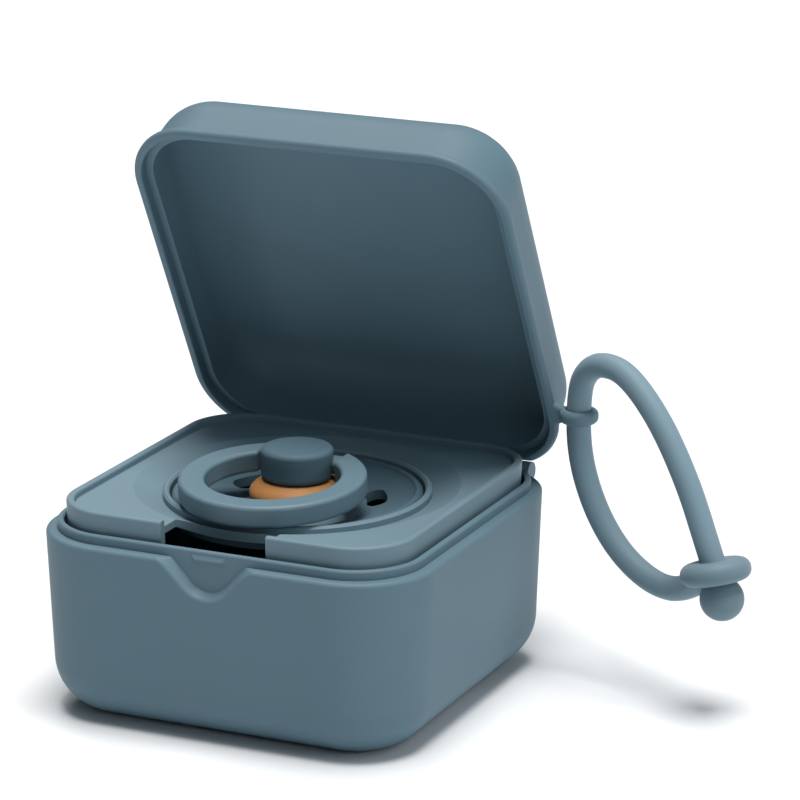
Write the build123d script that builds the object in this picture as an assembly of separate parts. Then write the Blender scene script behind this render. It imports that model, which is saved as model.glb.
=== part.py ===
"""Pacifier sterilizer case: a square box with a steam tray, a hinged lid, a strap and the pacifier it holds.

Millimetres. The origin is the centre of the bottom face, X runs along the front to the right,
Y to the back and Z up. The lid stands open at LID_OPEN_DEG, its rest pose.
"""

import os
from math import cos, pi, radians, sin, sqrt, tan

from build123d import *

# ---- clearances ----
RUNNING_FIT = 0.05  # radial, hinge pin in the lid's knuckles, ring pin in the knob
CURVED_GAP = 0.35  # between curved faces that move past each other
SEAM_GAP = 0.4  # tray in the base, base band in the lid
SEAT_FIT = 0.05  # pieces that are pushed into each other and stay there

# ---- drawing aids ----
OVERLAP = 0.5  # joined shapes run this far into each other
OVERSHOOT = 1.0  # cuts run this far past what they cut
NEAR = 0.02  # tolerance when edges are picked by their place

# ---- base ----
SIDE = 68.0  # width and depth at the shoulder
SHOULDER_Z = 30.8  # height of the ledge that the lid rests on
CORNER_R = 13.5  # plan corner radius at the shoulder
DRAFT_DEG = 2.3  # walls lean in towards the bottom
BOTTOM_R = 9.0  # rounding of the lower edge
SHOULDER_R = 0.7
FLOOR_T = 2.2
BAND_INSET = 1.9  # the locating band stands this far inside the wall's face
BAND_T = 1.1
BAND_H = 1.6
BAND_R = 0.45
RIB_T = 1.6  # ribs inside that carry the tray
RIB_OFFSET = 16.0
RIB_LEDGE = 1.0  # the ribs stand out this far past the tray's wall

# ---- thumb scoop and catch on the front ----
SCOOP_HALF_W = 8.31  # where the flanks meet the shoulder line
SCOOP_FLANK_DEG = 47.0
SCOOP_BOTTOM_R = 5.5
SCOOP_TOP_R = 4.5
SCOOP_LINE_UP = 0.05  # the bell is drawn from this far above the shoulder
SCOOP_WALL_DEG = 32.0  # its side walls slope in to its floor, which is flush with the band
CATCH_W = 6.0
CATCH_H = 1.7
CATCH_OUT = 0.38
CATCH_NOSE_DROP = 1.4  # its nose lies this far below its top
CATCH_END_SLOPE = 0.6  # its ends slope in by this much

# ---- tray ----
TRAY_RISE = 3.3  # rim above the base's band
TRAY_H = 10.7  # from the rim to the skirt's lower edge, on the base's ribs
TRAY_WALL = 1.35
TRAY_RIM_R = 0.45
DECK_DROP = 1.1  # deck below the rim
DECK_T = 1.2
DECK_W = 2.25  # narrowest part of the deck, between the wall and the dish
DISH_SLOPE_W = 4.8
DISH_DEPTH = 1.8
COLLAR_T = 1.1
COLLAR_H = 1.3  # above the dish
COLLAR_EDGE = 0.35
SEAT_W = 2.2  # ledge that the shield rests on
SEAT_DEPTH = 2.65  # below the collar's top
SEAT_T = 1.2
NOTCH_HALF_W = 9.3  # finger notch in the front
NOTCH_FLANGE = 1.6  # deck left between the notch and the collar
NOTCH_END_R = 2.5
NOTCH_H = 8.2  # from the rim down

# ---- lid, measured as if it were closed ----
LID_H = 15.3  # above the shoulder
LID_CORNER_R = 12.5  # plan corner radius of the lip
LIP_GAP = 0.15
LIP_H = 1.7
LIP_OUT = 1.1  # the lip stands out from the lid's wall
LIP_R = 0.7
LIP_FILLET = 0.8
LID_WALL = 1.8
LID_TOP_T = 2.0
LID_TOP_R = 8.0
BAND_HEADROOM = 0.2  # above the base's band, in the step inside the lip
RIM_EDGE_R = 0.3
LID_OPEN_DEG = 62.6

# ---- hinge ----
HINGE_DROP = 0.45  # axis below the shoulder, in the plane of the rear face
KNUCKLE_R = 1.7
HINGE_PIN_R = 0.8
HINGE_INSET = 6.5  # the outer knuckles end this far inside the side faces
LID_KNUCKLE_IN = 10.0  # the lid's two knuckles run from here ...
LID_KNUCKLE_OUT = 19.5  # ... to here, the base's three fill the rest
KNUCKLE_GAP = 0.35
LEAF_RISE = 1.0  # the lid's knuckles reach this far up its wall above the lip
LEAF_EDGE_R = 1.2
BLIND_END = 1.5  # the pin's bore stops short of the right-hand knuckle's end
PIN_SET_IN = 0.1  # the pin's left end lies this far inside the knuckle's

# ---- lug and strap ----
LUG_INSET = 13.4  # from the box's rear face to the lug's middle, lid closed
LUG_OUT = 4.0  # from the lip's face to the middle of its hole, which stands upright, lid open
LUG_FIT = 0.17  # radial, cord in the lug
LUG_WALL = 1.05
LUG_H = 2.4
LUG_EDGE_R = 0.95
LUG_NECK_HALF_W = 2.7  # at the lip ...
LUG_NECK_TIP_HALF_W = 1.3  # ... and inside the lug
CORD_R = 2.08
LOOP_TURN_DEG = -26.0  # direction of the loop about the lug's hole, from the +X side
# The cord's route in the loop's own plane: (out from the lug's axis, along the lug's axis).
CORD_ROUTE = [
    (31.2, -20.3),
    (26.6, -23.8),
    (19.4, -24.8),
    (10.9, -21.7),
    (4.2, -15.3),
    (0.0, -6.4),
    (0.0, 4.3),
    (1.9, 8.2),
    (5.7, 10.3),
    (11.8, 9.9),
    (19.7, 3.9),
    (26.6, -5.2),
    (31.1, -13.9),
    (35.2, -22.0),
]
ARC_SHARE = 0.45  # of the shorter run beside a corner, taken by its arc
BALL_R = 3.65
BALL_AT = (35.1, -22.9)
BUTTON_R = 5.85
BUTTON_T = 3.6
BUTTON_AT = (33.5, -18.7)
BUTTON_EDGE_R = 1.7
BUTTON_TILT_DEG = 15.0  # it leans towards square with the cord

# ---- pacifier ----
SHIELD_T = 1.7
SHIELD_RIM_W = 1.5
SHIELD_RIM_H = 2.1
SHIELD_STEP = 0.7
SHIELD_DISH = 1.7  # the middle lies this far below the step
SHIELD_BEND_R = 12.4  # the dish's slope changes here ...
SHIELD_BEND_RISE = 0.2  # ... this far above its middle
SHIELD_EDGE = 0.4
SHIELD_HOLE_R = 7.2
SHIELD_FLAT_R = 9.2  # flat round the hole, where the nipple's flanges lie
VENT_R = 13.1
VENT_W = 3.4
VENT_ARC_DEG = 20.0  # between the middles of its round ends
VENT_TURN_DEG = 30.0
NECK_R = 4.6
NECK_DROP = 4.5  # the bulb starts this far below the shield
BULB_R = 7.6
BULB_DROP = 17.45  # widest part of the bulb, below the shield
NIPPLE_L = 25.15  # from the shield to the tip
LATEX_T = 1.4
FLANGE_R = 8.0  # the flange that shows, above the shield
FLANGE_TOP_R = 5.8
FLANGE_FOOT_R = 7.45
FLANGE_H = 4.4
FLANGE_MID_H = 2.25  # height of its widest part
FLANGE_TOP_DEG = 27.0  # its slope falls this steeply at the top ...
FLANGE_FOOT_DEG = 75.0  # ... and runs in under it this steeply at the foot
INNER_FLANGE_R = 8.8  # the one under the shield
INNER_FLANGE_T = 0.9
PLUG_R = 3.1
PLUG_DEPTH = 4.0  # below the shield
PLUG_EDGE = 0.6
PEG_R = 1.5
PEG_CAP = 1.9  # knob left above the peg
KNOB_R = 6.0
KNOB_LIFT = 0.15  # knob above the flange
KNOB_H = 5.3
KNOB_TOP_R = 0.9
KNOB_FOOT_R = 0.8
RING_OUT_R = 15.4
RING_W = 4.3  # width of its flat band
RING_T = 3.7
RING_EDGE_R = 0.7
RING_END_R = 0.5
RING_TILT_DEG = 3.4
RING_PIN_R = 1.1
RING_STUB_W = 3.4  # the ring narrows to this where it enters the knob ...
RING_STUB_T = 2.6
STUB_EDGE_R = 1.0
STUB_CLEAR = 1.0  # ... and stays so for this far outside it
RING_AXIS_Y = 2.7
RING_AXIS_UP = 2.0  # above the knob's foot
KNOB_CORE = 3.4  # half width left between the knob's two side slots

# ---- worked out from the sizes above ----
HALF = SIDE / 2
BAND_TOP_Z = SHOULDER_Z + BAND_H
BAND_HALF = HALF - BAND_INSET
CAVITY_HALF = BAND_HALF - BAND_T
TRAY_HALF = CAVITY_HALF - SEAM_GAP
TRAY_TOP_Z = BAND_TOP_Z + TRAY_RISE
TRAY_SKIRT_Z = TRAY_TOP_Z - TRAY_H
DECK_Z = TRAY_TOP_Z - DECK_DROP
DISH_R = TRAY_HALF - TRAY_WALL - DECK_W
DISH_FOOT_Z = DECK_Z - DISH_DEPTH
COLLAR_R = DISH_R - DISH_SLOPE_W
COLLAR_IN_R = COLLAR_R - COLLAR_T
COLLAR_TOP_Z = DISH_FOOT_Z + COLLAR_H
SEAT_Z = COLLAR_TOP_Z - SEAT_DEPTH
SHIELD_R = COLLAR_IN_R - SEAM_GAP
SHIELD_TOP_Z = SEAT_Z + SHIELD_RIM_H - SHIELD_STEP - SHIELD_DISH  # both faces, round the hole
SHIELD_UNDER_Z = SHIELD_TOP_Z - SHIELD_T
FLANGE_TOP_Z = SHIELD_TOP_Z + FLANGE_H
KNOB_BOTTOM_Z = FLANGE_TOP_Z + KNOB_LIFT
KNOB_TOP_Z = KNOB_BOTTOM_Z + KNOB_H
PEG_TOP_Z = KNOB_TOP_Z - PEG_CAP
RING_AXIS_Z = KNOB_BOTTOM_Z + RING_AXIS_UP
RING_IN_R = RING_OUT_R - RING_W
REBATE_HALF = BAND_HALF + SEAM_GAP
LIP_Z = SHOULDER_Z + LIP_GAP
LID_TOP_Z = SHOULDER_Z + LID_H
LID_WALL_HALF = HALF - LIP_OUT
HINGE_Y = HALF
HINGE_Z = SHOULDER_Z - HINGE_DROP
HINGE_HALF_W = HALF - HINGE_INSET
SWEEP_R = KNUCKLE_R + CURVED_GAP
HINGE = Axis((0, HINGE_Y, HINGE_Z), (1, 0, 0))
LUG_HOLE_R = CORD_R + LUG_FIT
LUG_CLOSED = Vector(HALF + LUG_OUT, HALF - LUG_INSET, LIP_Z + LIP_H / 2)


def outline(half, height, edge_r=CORNER_R):
    """Rounded square this far from the middle, parallel to the one with corner radius edge_r at HALF."""
    return Plane.XY.offset(height) * RectangleRounded(2 * half, 2 * half, edge_r - (HALF - half))


def slab(half, low, high, edge_r=CORNER_R):
    """Upright rounded-square block."""
    return extrude(outline(half, low, edge_r), high - low)


def tapered_down(half, high, low):
    """Rounded-square block that narrows with the draft from its top to its bottom."""
    return extrude(outline(half, high), -(high - low), taper=DRAFT_DEG)


def tapered_up(half, low, high):
    """The same for the lid, narrowing from its bottom to its top."""
    return extrude(outline(half, low, LID_CORNER_R), high - low, taper=DRAFT_DEG)


def block(x, y, z):
    """Box from three (low, high) pairs."""
    size = [b - a for a, b in (x, y, z)]
    return Pos(*[(a + b) / 2 for a, b in (x, y, z)]) * Box(*size)


def inside_rim(edge):
    """True for the edges of the lid's rim that face its inside."""
    reach = edge.bounding_box()
    return max(abs(reach.min.X), abs(reach.max.X), abs(reach.min.Y), abs(reach.max.Y)) < REBATE_HALF + NEAR


def rod(radius, x):
    """Cylinder along X on the hinge axis."""
    low, high = x
    return Pos((low + high) / 2, HINGE_Y, HINGE_Z) * Rot(0, 90, 0) * Cylinder(radius, high - low)


def turned(points):
    """Solid of revolution about Z from (radius, height) points."""
    face = make_face(Plane.XZ * Polyline([(r, z) for r, z in points], close=True))
    return revolve(face, Axis.Z)


def level_edges(shape, height):
    """Edges that lie in the plane at this height."""
    return shape.edges().filter_by_position(Axis.Z, height - NEAR, height + NEAR)


def opened(shape):
    """Turns a shape drawn with the lid closed to the lid's open pose."""
    return shape.rotate(HINGE, -LID_OPEN_DEG)


def both_sides(low, high):
    """The (low, high) span along X and its mirror image."""
    return [(low, high), (-high, -low)]


# ---- base ----
def thumb_scoop():
    """Bell-shaped recess in the front wall under the lid's lip, as deep as the band is set in."""
    line_z = SHOULDER_Z + SCOOP_LINE_UP
    point_z = line_z - SCOOP_HALF_W * tan(radians(SCOOP_FLANK_DEG))
    reach = SCOOP_HALF_W + 2 * SCOOP_TOP_R
    left, right = (-reach, line_z), (reach, line_z)
    line = FilletPolyline(
        [left, (-SCOOP_HALF_W, line_z), (0, point_z), (SCOOP_HALF_W, line_z), right],
        radius=[SCOOP_TOP_R, SCOOP_BOTTOM_R, SCOOP_TOP_R],
    )
    above = line_z + 2 * BAND_INSET
    top = Polyline([right, (reach, above), (-reach, above), left])
    front = Plane(origin=(0, -HALF, 0), x_dir=(-1, 0, 0), z_dir=(0, 1, 0))
    return extrude(make_face(front * (line + top)), BAND_INSET, taper=SCOOP_WALL_DEG)


def on_shoulder_edge(edge):
    """True for the shoulder's outer edge, also where it runs down and round the scoop."""
    middle = edge.center()
    deepest = SHOULDER_Z - SCOOP_HALF_W * tan(radians(SCOOP_FLANK_DEG))
    level = edge.bounding_box().min.Z > SHOULDER_Z - NEAR
    outline = deepest < middle.Z < SHOULDER_Z and middle.Y < -BAND_HALF - BAND_INSET / 2
    return (level and middle.Y > NEAR - BAND_HALF) or (level and middle.Y < -NEAR - BAND_HALF) or (
        outline and abs(middle.X) < SCOOP_HALF_W + SCOOP_TOP_R
    )


def catch():
    """Small wedge on the front of the band that the lid's lip snaps over."""
    root = -BAND_HALF + BAND_T / 2
    low = BAND_TOP_Z - CATCH_H
    nose = (-BAND_HALF - CATCH_OUT, BAND_TOP_Z - CATCH_NOSE_DROP)
    side = [(root, BAND_TOP_Z), (BAND_R - BAND_HALF, BAND_TOP_Z), nose, (-BAND_HALF, low), (root, low)]
    wedge = extrude(make_face(Plane.YZ * Polyline(side, close=True)), CATCH_W / 2, both=True)
    foot, tip = CATCH_W / 2, CATCH_W / 2 - CATCH_END_SLOPE
    plan = [(-foot, root), (-foot, -BAND_HALF), (-tip, nose[0]), (tip, nose[0]), (foot, -BAND_HALF), (foot, root)]
    ends = extrude(make_face(Plane.XY.offset(low) * Polyline(plan, close=True)), CATCH_H)
    return wedge & ends


def base_knuckles():
    """The base's three knuckles, half sunk in the rear wall."""
    spans = [(-LID_KNUCKLE_IN + KNUCKLE_GAP, LID_KNUCKLE_IN - KNUCKLE_GAP)]
    spans += both_sides(LID_KNUCKLE_OUT + KNUCKLE_GAP, HINGE_HALF_W)
    return [rod(KNUCKLE_R, span) for span in spans]


def base_ribs():
    """Eight ribs on the inner walls; the tray's skirt stands on their tops."""
    reach = TRAY_HALF - TRAY_WALL - RIB_LEDGE
    ribs = []
    for turn in (0, 90, 180, 270):
        for at in (-RIB_OFFSET, RIB_OFFSET):
            rib = block((at - RIB_T / 2, at + RIB_T / 2), (reach, CAVITY_HALF + OVERLAP), (0, TRAY_SKIRT_Z))
            ribs.append(rib.rotate(Axis.Z, turn))
    return ribs


def make_base():
    outside = tapered_down(HALF, SHOULDER_Z, 0)
    outside = fillet(level_edges(outside, 0), BOTTOM_R)
    outside -= thumb_scoop()
    outside = fillet(outside.edges().filter_by(on_shoulder_edge), SHOULDER_R)
    right = outside & block((0, SIDE), (-SIDE, SIDE), (-OVERSHOOT, SHOULDER_Z + OVERSHOOT))
    outside = right + mirror(right, about=Plane.YZ)
    cavity = tapered_down(CAVITY_HALF, BAND_TOP_Z, FLOOR_T)
    cavity = fillet(level_edges(cavity, FLOOR_T), BOTTOM_R - BAND_INSET - BAND_T)
    band = slab(BAND_HALF, SHOULDER_Z - OVERLAP, BAND_TOP_Z) - cavity
    shell = outside - cavity + fillet(level_edges(band, BAND_TOP_Z), BAND_R)
    for rib in base_ribs():
        shell += rib & outside
    shell += catch()
    for span in both_sides(LID_KNUCKLE_IN - KNUCKLE_GAP, LID_KNUCKLE_OUT + KNUCKLE_GAP):
        shell -= rod(SWEEP_R, span)
    for knuckle in base_knuckles():
        shell += knuckle
    shell -= rod(HINGE_PIN_R, (-HINGE_HALF_W - OVERSHOOT, HINGE_HALF_W - BLIND_END))
    return shell


def make_hinge_pin():
    return rod(HINGE_PIN_R, (-HINGE_HALF_W + PIN_SET_IN, HINGE_HALF_W - BLIND_END))


# ---- tray ----
def notch_cut():
    """Finger notch: it opens the front wall and the deck as far as a flange round the collar."""
    back_r = COLLAR_R + NOTCH_FLANGE
    front = TRAY_HALF + OVERSHOOT
    plan = Rectangle(2 * NOTCH_HALF_W, front, align=(Align.CENTER, Align.MAX)) - Circle(back_r)
    notch = extrude(Plane.XY.offset(TRAY_TOP_Z - NOTCH_H) * plan, NOTCH_H + OVERSHOOT)
    corner_y = -sqrt(back_r**2 - NOTCH_HALF_W**2)
    ends = [e for e in notch.edges().filter_by(Axis.Z) if abs(e.center().Y - corner_y) < NEAR]
    return fillet(ends, NOTCH_END_R)


def make_tray():
    outside = tapered_down(TRAY_HALF, TRAY_TOP_Z, TRAY_SKIRT_Z)
    inner_half = TRAY_HALF - TRAY_WALL
    inside = tapered_down(inner_half, TRAY_TOP_Z, TRAY_SKIRT_Z)
    wall = outside - inside
    wall = fillet(level_edges(wall, TRAY_TOP_Z), TRAY_RIM_R)
    deck = slab(inner_half + OVERLAP, DECK_Z - DECK_T, DECK_Z) & outside
    deck -= Cylinder(DISH_R, 3 * TRAY_TOP_Z)
    seat_in = COLLAR_IN_R - SEAT_W
    middle = turned(
        [
            (DISH_R, DECK_Z),
            (COLLAR_R, DISH_FOOT_Z),
            (COLLAR_R, COLLAR_TOP_Z - COLLAR_EDGE),
            (COLLAR_R - COLLAR_EDGE, COLLAR_TOP_Z),
            (COLLAR_IN_R + COLLAR_EDGE, COLLAR_TOP_Z),
            (COLLAR_IN_R, COLLAR_TOP_Z - COLLAR_EDGE),
            (COLLAR_IN_R, SEAT_Z),
            (seat_in, SEAT_Z),
            (seat_in, SEAT_Z - SEAT_T),
            (COLLAR_R, SEAT_Z - SEAT_T),
            (COLLAR_R + COLLAR_T, DISH_FOOT_Z - DECK_T),
            (DISH_R, DECK_Z - DECK_T),
        ]
    )
    return wall + deck + middle - notch_cut()


# ---- lid ----
def lid_knuckles():
    """The lid's two knuckles, each on a leaf that runs up the outside of the rear wall."""
    top = LIP_Z + LIP_H + LEAF_RISE
    made = []
    for span in both_sides(LID_KNUCKLE_IN, LID_KNUCKLE_OUT):
        leaf = block(span, (REBATE_HALF, HINGE_Y + KNUCKLE_R), (HINGE_Z, top))
        back = level_edges(leaf, top).sort_by(Axis.Y)[-1]
        made.append(rod(KNUCKLE_R, span) + fillet(back, LEAF_EDGE_R))
    return made


def lug():
    """Ring for the strap, drawn in the open pose, with a neck that runs into the lip."""
    place = lug_plane()
    ring = Cylinder(LUG_HOLE_R + LUG_WALL, LUG_H)
    ring = fillet(ring.edges(), LUG_EDGE_R)
    middle = LUG_CLOSED
    root_x = REBATE_HALF + LIP_R
    tip_x = middle.X - LUG_HOLE_R
    plan = [
        (root_x, middle.Y - LUG_NECK_HALF_W),
        (tip_x, middle.Y - LUG_NECK_TIP_HALF_W),
        (tip_x, middle.Y + LUG_NECK_TIP_HALF_W),
        (root_x, middle.Y + LUG_NECK_HALF_W),
    ]
    neck = extrude(make_face(Plane.XY.offset(LIP_Z) * Polyline(plan, close=True)), LIP_H)
    flanks = [e for e in neck.edges() if e.length > LIP_H + NEAR and abs(e.center().Y - middle.Y) > NEAR]
    neck = fillet(flanks, LIP_R)
    return place * ring + opened(neck) - place * Cylinder(LUG_HOLE_R, 3 * LUG_H)


def make_lid():
    lip_top = LIP_Z + LIP_H
    rebate_top = BAND_TOP_Z + BAND_HEADROOM
    inside_top = LID_TOP_Z - LID_TOP_T
    outside = tapered_up(LID_WALL_HALF, LIP_Z, LID_TOP_Z)
    outside = fillet(level_edges(outside, LID_TOP_Z), LID_TOP_R)
    lip = slab(HALF, LIP_Z, lip_top, LID_CORNER_R)
    lip = fillet(level_edges(lip, LIP_Z) + level_edges(lip, lip_top), LIP_R)
    body = outside + lip
    seam = [e for e in level_edges(body, lip_top) if e.bounding_box().max.X < LID_WALL_HALF + NEAR]
    body = fillet(seam, LIP_FILLET)
    inner_half = LID_WALL_HALF - LID_WALL
    cavity = tapered_up(inner_half, rebate_top, inside_top)
    body -= fillet(level_edges(cavity, inside_top), LID_TOP_R - LID_WALL)
    body -= slab(REBATE_HALF, LIP_Z, rebate_top, LID_CORNER_R)
    body = fillet(level_edges(body, LIP_Z).filter_by(inside_rim), RIM_EDGE_R)
    keeper = CATCH_W / 2 + SEAM_GAP
    low = BAND_TOP_Z - CATCH_H
    body -= block((-keeper, keeper), (-REBATE_HALF - CATCH_OUT, -inner_half), (low, rebate_top))
    half_w = HINGE_HALF_W + KNUCKLE_GAP
    body -= rod(SWEEP_R, (-half_w, half_w))
    for knuckle in lid_knuckles():
        body += knuckle
    bore_end = LID_KNUCKLE_OUT + OVERSHOOT
    body -= rod(HINGE_PIN_R + RUNNING_FIT, (-bore_end, bore_end))
    return opened(body) + lug()


# ---- strap ----
def lug_plane():
    """Plane at the middle of the lug's hole: Z along the hole, X towards the strap's loop."""
    middle = opened(Vertex(*LUG_CLOSED)).center()
    out = Vector(1, 0, 0).rotate(Axis.Z, LOOP_TURN_DEG)
    return Plane(origin=middle, x_dir=out, z_dir=(0, 0, 1))


def cord_path():
    """Straight runs joined by tangent arcs, in the loop's own plane."""
    points = [Vector(out, 0, along) for out, along in CORD_ROUTE]
    radii = []
    for a, b, c in zip(points, points[1:], points[2:]):
        turn = radians((b - a).get_angle(c - b))
        radii.append(ARC_SHARE * min((b - a).length, (c - b).length) / tan(turn / 2))
    print("cord arcs, radii:", [round(r, 1) for r in radii])
    return lug_plane() * FilletPolyline(points, radius=radii)


def make_strap():
    """The cord, the ball on its free end and the button that the ball is pulled through."""
    path = cord_path()
    start = Plane(origin=path @ 0, z_dir=path % 0)
    cord = sweep(start * Circle(CORD_R), path=path)
    filled = cord.volume / (path.length * pi * CORD_R**2)
    print("cord length", round(path.length, 1), "volume share", round(filled, 3))
    place = lug_plane()
    ball_place = place * Pos(BALL_AT[0], 0, BALL_AT[1])
    ball = ball_place * Sphere(BALL_R) - cord
    disc = fillet(Cylinder(BUTTON_R, BUTTON_T).edges(), BUTTON_EDGE_R)
    button = place * Pos(BUTTON_AT[0], 0, BUTTON_AT[1]) * Rot(0, -BUTTON_TILT_DEG, 0) * disc
    button -= ball_place * Sphere(BALL_R + SEAT_FIT)
    return cord, ball, button - cord


# ---- pacifier ----
def vents():
    """Three short curved slots through the shield."""
    cuts = []
    for turn in (0, 120, 240):
        mid = radians(VENT_TURN_DEG + turn)
        half = radians(VENT_ARC_DEG / 2)
        ends = [(VENT_R * cos(mid + side * half), VENT_R * sin(mid + side * half)) for side in (-1, 0, 1)]
        arc = ThreePointArc(*ends)
        cuts.append(extrude(SlotArc(arc, VENT_W), TRAY_TOP_Z))
    return cuts


def make_shield():
    """Dished disc whose raised rim stands on the tray's seat."""
    rim_top = SEAT_Z + SHIELD_RIM_H
    rim_in = SHIELD_R - SHIELD_RIM_W
    step_z = rim_top - SHIELD_STEP
    top, under = SHIELD_TOP_Z, SHIELD_UNDER_Z
    body = turned(
        [
            (SHIELD_HOLE_R, top),
            (SHIELD_FLAT_R, top),
            (SHIELD_BEND_R, top + SHIELD_BEND_RISE),
            (rim_in - 2 * SHIELD_EDGE, step_z),
            (rim_in, rim_top - SHIELD_EDGE),
            (rim_in + SHIELD_EDGE, rim_top),
            (SHIELD_R - SHIELD_EDGE, rim_top),
            (SHIELD_R, rim_top - SHIELD_EDGE),
            (SHIELD_R, SEAT_Z),
            (rim_in - SHIELD_EDGE, SEAT_Z),
            (SHIELD_BEND_R, under + SHIELD_BEND_RISE),
            (SHIELD_FLAT_R, under),
            (SHIELD_HOLE_R, under),
        ]
    )
    for cut in vents():
        body -= cut
    return body


def make_nipple():
    """Hollow latex bulb and neck, held in the shield's hole between two flanges."""
    top, under = SHIELD_TOP_Z, SHIELD_UNDER_Z
    neck_z = under - NECK_DROP
    tip_z = under - NIPPLE_L
    bulb_z = under - BULB_DROP
    mid_z = top + FLANGE_MID_H
    hole = SHIELD_HOLE_R - SEAT_FIT
    outer = Spline(
        [(NECK_R, neck_z), (BULB_R, bulb_z), (0, tip_z)],
        tangents=[(0, -1), (0, -1), (-1, 0)],
    )
    inner = Spline(
        [(0, tip_z + LATEX_T), (BULB_R - LATEX_T, bulb_z), (PLUG_R, neck_z)],
        tangents=[(1, 0), (0, 1), (0, 1)],
    )
    bore = Polyline([(PLUG_R, neck_z), (PLUG_R, FLANGE_TOP_Z), (FLANGE_TOP_R, FLANGE_TOP_Z)])
    fall = radians(FLANGE_TOP_DEG)
    foot = radians(FLANGE_FOOT_DEG)
    brow = Spline(
        [(FLANGE_TOP_R, FLANGE_TOP_Z), (FLANGE_R, mid_z), (FLANGE_FOOT_R, top)],
        tangents=[(cos(fall), -sin(fall)), (-cos(foot), -sin(foot))],
    )
    flanges = Polyline(
        [
            (FLANGE_FOOT_R, top),
            (hole, top),
            (hole, under),
            (INNER_FLANGE_R, under),
            (INNER_FLANGE_R, under - INNER_FLANGE_T),
            (NECK_R, under - 2 * INNER_FLANGE_T),
            (NECK_R, neck_z),
        ]
    )
    axis_line = Line((0, tip_z), (0, tip_z + LATEX_T))
    return revolve(make_face(Plane.XZ * (outer + axis_line + inner + bore + brow + flanges)), Axis.Z)


def make_plug():
    """Stopper in the nipple's neck, with a peg that holds the knob."""
    stem_r = PLUG_R - SEAT_FIT
    low = SHIELD_UNDER_Z - PLUG_DEPTH
    return turned(
        [
            (0, low),
            (stem_r - PLUG_EDGE, low),
            (stem_r, low + PLUG_EDGE),
            (stem_r, FLANGE_TOP_Z),
            (PEG_R, FLANGE_TOP_Z),
            (PEG_R, PEG_TOP_Z),
            (0, PEG_TOP_Z),
        ]
    )


def ring_rod(radius, x):
    """Cylinder along X on the ring's axis."""
    low, high = x
    return Pos((low + high) / 2, RING_AXIS_Y, RING_AXIS_Z) * Rot(0, 90, 0) * Cylinder(radius, high - low)


def make_knob():
    """Round knob with an arched slot in each side for the ring, and a snap-in bearing for the ring's pin."""
    middle = (KNOB_BOTTOM_Z + KNOB_TOP_Z) / 2
    body = Pos(0, 0, middle) * Cylinder(KNOB_R, KNOB_TOP_Z - KNOB_BOTTOM_Z)
    body = fillet(level_edges(body, KNOB_TOP_Z), KNOB_TOP_R)
    body = fillet(level_edges(body, KNOB_BOTTOM_Z), KNOB_FOOT_R)
    under = KNOB_BOTTOM_Z - OVERSHOOT
    slot_r = sqrt((RING_STUB_W / 2) ** 2 + (RING_STUB_T / 2) ** 2) + CURVED_GAP
    pin_r = RING_PIN_R + RUNNING_FIT
    for span in both_sides(KNOB_CORE, KNOB_R + OVERSHOOT):
        body -= ring_rod(slot_r, span)
        body -= block(span, (RING_AXIS_Y - slot_r, RING_AXIS_Y + slot_r), (under, RING_AXIS_Z))
    body -= ring_rod(pin_r, (-KNOB_R, KNOB_R))
    body -= block((-KNOB_R, KNOB_R), (RING_AXIS_Y - pin_r, RING_AXIS_Y + pin_r), (under, RING_AXIS_Z))
    peg_hole = Cylinder(PEG_R + SEAT_FIT, 2 * PEG_TOP_Z)
    return body - peg_hole


def make_ring():
    """Flat round ring whose rear end narrows to a pin that turns in the knob."""
    middle_r = (RING_OUT_R + RING_IN_R) / 2
    centre_y = RING_AXIS_Y - sqrt(middle_r**2 - KNOB_R**2)
    band = Cylinder(RING_OUT_R, RING_T) - Cylinder(RING_IN_R, 2 * RING_T)
    band = Pos(0, centre_y, RING_AXIS_Z) * fillet(band.edges(), RING_EDGE_R)
    inner = KNOB_CORE + CURVED_GAP
    outer = KNOB_R + STUB_CLEAR
    band -= block((-outer, outer), (centre_y, centre_y + RING_OUT_R + OVERSHOOT), (0, 2 * RING_AXIS_Z))
    ends = [e for e in band.edges() if abs(abs(e.center().X) - outer) < NEAR]
    band = fillet(ends, RING_END_R)
    stub_y = (RING_AXIS_Y - RING_STUB_W / 2, RING_AXIS_Y + RING_STUB_W / 2)
    stub_z = (RING_AXIS_Z - RING_STUB_T / 2, RING_AXIS_Z + RING_STUB_T / 2)
    for span in both_sides(inner, outer + OVERLAP):
        stub = block(span, stub_y, stub_z)
        band += fillet(stub.edges().filter_by(Axis.X), STUB_EDGE_R)
    band += ring_rod(RING_PIN_R, (-inner, inner))
    return band.rotate(Axis((0, RING_AXIS_Y, RING_AXIS_Z), (1, 0, 0)), RING_TILT_DEG)


def write(name, shape):
    export_step(shape, f"parts/{name}.step")


os.makedirs("parts", exist_ok=True)
strap_cord, strap_ball, strap_button = make_strap()
write("base_shell", make_base())
write("hinge_pin", make_hinge_pin())
write("steam_tray", make_tray())
write("lid_shell", make_lid())
write("strap_cord", strap_cord)
write("strap_ball", strap_ball)
write("strap_button", strap_button)
write("pacifier_shield", make_shield())
write("pacifier_nipple", make_nipple())
write("pacifier_plug", make_plug())
write("pacifier_knob", make_knob())
write("pacifier_ring", make_ring())
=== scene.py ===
"""Pacifier sterilizer case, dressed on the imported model. Metres, +Z up, front towards -Y."""

import math

import bpy
from mathutils import Matrix, Vector


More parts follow.
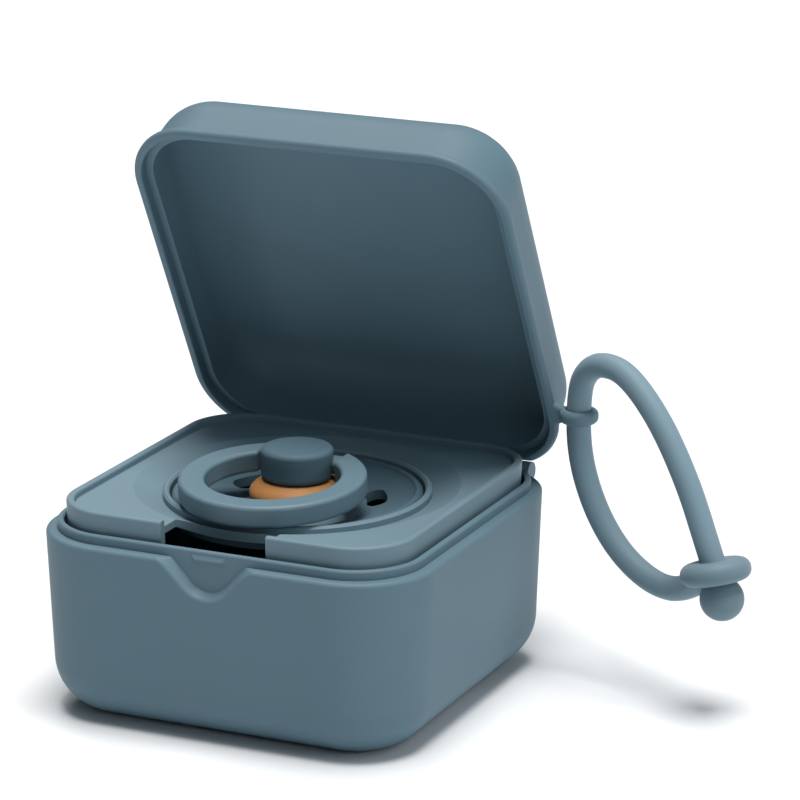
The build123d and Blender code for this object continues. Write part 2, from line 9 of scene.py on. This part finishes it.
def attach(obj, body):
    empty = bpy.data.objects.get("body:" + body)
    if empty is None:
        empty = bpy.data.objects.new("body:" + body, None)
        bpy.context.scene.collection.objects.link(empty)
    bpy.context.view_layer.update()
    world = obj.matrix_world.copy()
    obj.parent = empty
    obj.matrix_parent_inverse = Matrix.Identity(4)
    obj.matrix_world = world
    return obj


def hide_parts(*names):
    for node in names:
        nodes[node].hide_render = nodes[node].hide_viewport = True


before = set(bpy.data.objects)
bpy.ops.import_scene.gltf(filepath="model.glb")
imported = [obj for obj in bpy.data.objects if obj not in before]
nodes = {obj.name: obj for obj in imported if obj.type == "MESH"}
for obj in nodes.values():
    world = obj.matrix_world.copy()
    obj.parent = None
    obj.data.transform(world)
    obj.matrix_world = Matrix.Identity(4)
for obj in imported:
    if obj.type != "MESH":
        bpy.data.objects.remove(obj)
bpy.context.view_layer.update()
scene = bpy.context.scene


# ---- camera ----
CAMERA_AT = (0.28202, -0.57087, 0.23603)
LENS_MM = 182.34
SENSOR_MM = 36.0


def make_camera():
    right = Vector((0.90837, 0.41816, -0.00292))
    up = Vector((-0.11546, 0.25751, 0.95935))
    back = Vector((0.40192, -0.87111, 0.28219))
    data = bpy.data.cameras.new("camera")
    data.sensor_width = SENSOR_MM
    data.lens = LENS_MM
    data.clip_start = 0.02
    data.clip_end = 20.0
    cam = bpy.data.objects.new("camera", data)
    turn = Matrix((right, up, back)).transposed().to_4x4()
    cam.matrix_world = Matrix.Translation(CAMERA_AT) @ turn
    scene.collection.objects.link(cam)
    scene.camera = cam


make_camera()

# ---- strap's cord ----
LUG = Vector((0.0380, 0.02912, 0.04292))
LOOP_TURN = math.radians(-26.0)
CORD_D = 0.00416
# The route's points in the loop's upright plane, in metres: (out from the lug's axis, up along it).
ROUTE = [
    (0.0312, -0.0203),
    (0.0266, -0.0238),
    (0.0194, -0.0248),
    (0.0109, -0.0217),
    (0.0042, -0.0153),
    (0.0000, -0.0064),
    (0.0000, 0.0043),
    (0.0019, 0.0082),
    (0.0057, 0.0103),
    (0.0118, 0.0099),
    (0.0197, 0.0039),
    (0.0266, -0.0052),
    (0.0311, -0.0139),
    (0.0352, -0.0220),
]


def in_loop(out, up):
    return LUG + Vector((math.cos(LOOP_TURN) * out, math.sin(LOOP_TURN) * out, up))


def make_cord():
    curve = bpy.data.curves.new("strap_tube", "CURVE")
    curve.dimensions = "3D"
    spline = curve.splines.new("NURBS")
    spline.points.add(len(ROUTE) - 1)
    for point, (out, up) in zip(spline.points, ROUTE):
        point.co = (*in_loop(out, up), 1.0)
        point.radius = CORD_D / 2
    spline.order_u = 3
    spline.use_endpoint_u = True
    spline.resolution_u = 12
    # The points' radius is the tube's, because a curve's box counts that radius in full.
    curve.bevel_depth = 1.0
    curve.bevel_resolution = 8
    curve.use_fill_caps = True
    tube = bpy.data.objects.new("strap_tube", curve)
    scene.collection.objects.link(tube)
    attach(tube, "strap")
    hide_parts("strap_cord")
    return tube


tube = make_cord()


# ---- materials ----
MOTTLE_SCALE = 45.0
GRAIN_STRENGTH = 0.5
ROUGH_SPREAD = 0.05


def moulded(name, light, dark, rough, grain_m, grain_h, **sockets):
    """Moulded plastic or rubber: faint mottling, a fine mould texture and a slightly varying roughness.

    light and dark are the mottling's colours, grain_m and grain_h the texture's size and height in metres.
    Further sockets of the shader are given by name, with _ for each space.
    """
    mat = bpy.data.materials.new(name)
    mat.use_nodes = True
    tree = mat.node_tree
    shader = tree.nodes["Principled BSDF"]
    for socket, value in sockets.items():
        shader.inputs[socket.replace("_", " ")].default_value = value
    place = tree.nodes.new("ShaderNodeTexCoord")

    cloud = tree.nodes.new("ShaderNodeTexNoise")
    cloud.inputs["Scale"].default_value = MOTTLE_SCALE
    cloud.inputs["Detail"].default_value = 3.0
    tree.links.new(place.outputs["Object"], cloud.inputs["Vector"])
    tint = tree.nodes.new("ShaderNodeMix")
    tint.data_type = "RGBA"
    tint.inputs["A"].default_value = (*dark, 1.0)
    tint.inputs["B"].default_value = (*light, 1.0)
    tree.links.new(cloud.outputs["Fac"], tint.inputs["Factor"])
    tree.links.new(tint.outputs["Result"], shader.inputs["Base Color"])

    grain = tree.nodes.new("ShaderNodeTexNoise")
    grain.inputs["Scale"].default_value = 1.0 / grain_m
    grain.inputs["Detail"].default_value = 4.0
    grain.inputs["Roughness"].default_value = 0.6
    tree.links.new(place.outputs["Object"], grain.inputs["Vector"])
    bump = tree.nodes.new("ShaderNodeBump")
    bump.inputs["Distance"].default_value = grain_h
    bump.inputs["Strength"].default_value = GRAIN_STRENGTH
    tree.links.new(grain.outputs["Fac"], bump.inputs["Height"])
    tree.links.new(bump.outputs["Normal"], shader.inputs["Normal"])

    span = tree.nodes.new("ShaderNodeMapRange")
    span.inputs["To Min"].default_value = rough - ROUGH_SPREAD
    span.inputs["To Max"].default_value = rough + ROUGH_SPREAD
    tree.links.new(grain.outputs["Fac"], span.inputs["Value"])
    tree.links.new(span.outputs["Result"], shader.inputs["Roughness"])
    return mat


# The light (_L) and dark (_D) colour of each plastic's mottling.
CASE_L = (0.112, 0.190, 0.238)
CASE_D = (0.103, 0.178, 0.224)
TRAY_L = (0.150, 0.240, 0.290)
TRAY_D = (0.141, 0.226, 0.275)
PACIFIER_L = (0.087, 0.153, 0.194)
PACIFIER_D = (0.080, 0.142, 0.182)
RING_L = (0.125, 0.210, 0.259)
RING_D = (0.117, 0.197, 0.245)
case = moulded("case_plastic", CASE_L, CASE_D, 0.5, 0.0004, 0.00002, Specular_IOR_Level=0.18)
tray = moulded("tray_plastic", TRAY_L, TRAY_D, 0.5, 0.0004, 0.00002, Specular_IOR_Level=0.22)
pacifier = moulded(
    "pacifier_plastic", PACIFIER_L, PACIFIER_D, 0.55, 0.0003, 0.00001, Specular_IOR_Level=0.12
)
ring = moulded("ring_plastic", RING_L, RING_D, 0.45, 0.0003, 0.00001, Specular_IOR_Level=0.28)


def soft_silicone(name, light, dark):
    sheen = {"Sheen_Weight": 0.15, "Sheen_Roughness": 0.5}
    return moulded(name, light, dark, 0.58, 0.0005, 0.00002, Specular_IOR_Level=0.25, **sheen)


silicone = soft_silicone("strap_silicone", (0.164, 0.262, 0.320), (0.152, 0.246, 0.303))
# The ball and button are the same silicone as the tube, coloured darker: painted shade on them.
shade_darkened_silicone = soft_silicone("strap_end_shade_darkened_silicone", (0.132, 0.212, 0.260), (0.120, 0.197, 0.244))
latex = moulded(
    "amber_latex",
    (0.42, 0.207, 0.070),
    (0.365, 0.176, 0.057),
    0.55,
    0.0006,
    0.00001,
    Specular_IOR_Level=0.3,
    Subsurface_Weight=0.4,
    Subsurface_Scale=0.002,
    Subsurface_Radius=(1.0, 0.5, 0.2),
)
steel = moulded("pin_steel", (0.55, 0.55, 0.57), (0.48, 0.48, 0.5), 0.3, 0.0003, 0.00001, Metallic=1.0)

WEARS = {
    "base_shell": case,
    "lid_shell": case,
    "hinge_pin": steel,
    "steam_tray": tray,
    # The ball and button wear the darker silicone copy, which is painted shade.
    "strap_ball": shade_darkened_silicone,
    "strap_button": shade_darkened_silicone,
    "pacifier_shield": pacifier,
    "pacifier_plug": pacifier,
    "pacifier_knob": pacifier,
    "pacifier_ring": ring,
    "pacifier_nipple": latex,
}
for name, mat in WEARS.items():
    nodes[name].data.materials.clear()
    nodes[name].data.materials.append(mat)
tube.data.materials.append(silicone)


# ---- floor and light ----
FLOOR_HALF = 6.0
FLOOR_COLOUR = (0.71, 0.765, 0.795, 1.0)
SKY_COLOUR = (0.84, 0.95, 1.0, 1.0)
SKY_STRENGTH = 0.08


def make_floor():
    half = FLOOR_HALF
    mesh = bpy.data.meshes.new("floor")
    corners = [(-half, -half, 0), (half, -half, 0), (half, half, 0), (-half, half, 0)]
    mesh.from_pydata(corners, [], [(0, 1, 2, 3)])
    floor = bpy.data.objects.new("floor", mesh)
    scene.collection.objects.link(floor)
    mat = bpy.data.materials.new("floor_paint")
    mat.use_nodes = True
    shader = mat.node_tree.nodes["Principled BSDF"]
    shader.inputs["Base Color"].default_value = FLOOR_COLOUR
    shader.inputs["Roughness"].default_value = 0.9
    shader.inputs["Specular IOR Level"].default_value = 0.1
    mesh.materials.append(mat)


def lamp(name, azimuth, elevation, width, strength, colour=(1.0, 1.0, 1.0)):
    """Far soft light, as wide as its disc looks.

    Azimuth runs from the back (+Y) towards the right (+X). All angles are in degrees.
    """
    data = bpy.data.lights.new(name, "SUN")
    data.angle = math.radians(width)
    data.energy = strength
    data.color = colour
    turn, rise = math.radians(azimuth), math.radians(elevation)
    towards = Vector((math.cos(rise) * math.sin(turn), math.cos(rise) * math.cos(turn), math.sin(rise)))
    sun = bpy.data.objects.new(name, data)
    sun.location = towards
    sun.rotation_euler = (-towards).to_track_quat("-Z", "Y").to_euler()
    scene.collection.objects.link(sun)


def make_world():
    world = bpy.data.worlds.new("studio")
    scene.world = world
    world.use_nodes = True
    sky = world.node_tree.nodes["Background"]
    sky.inputs["Color"].default_value = SKY_COLOUR
    sky.inputs["Strength"].default_value = SKY_STRENGTH


make_floor()
make_world()
lamp("overhead", 115, 85, 28, 3.7, (1.0, 0.92, 0.885))
lamp("rear_left", -40, 55, 21, 0.8, (1.0, 0.92, 0.88))
lamp("front_top", 180, 70, 21, 0.15)
lamp("front_right", 140, 30, 21, 0.2)
lamp("right_low", 90, 20, 19, 0.44)
lamp("right_high", 90, 45, 21, 0.3)
scene.view_settings.view_transform = "Standard"

bpy.context.view_layer.update()
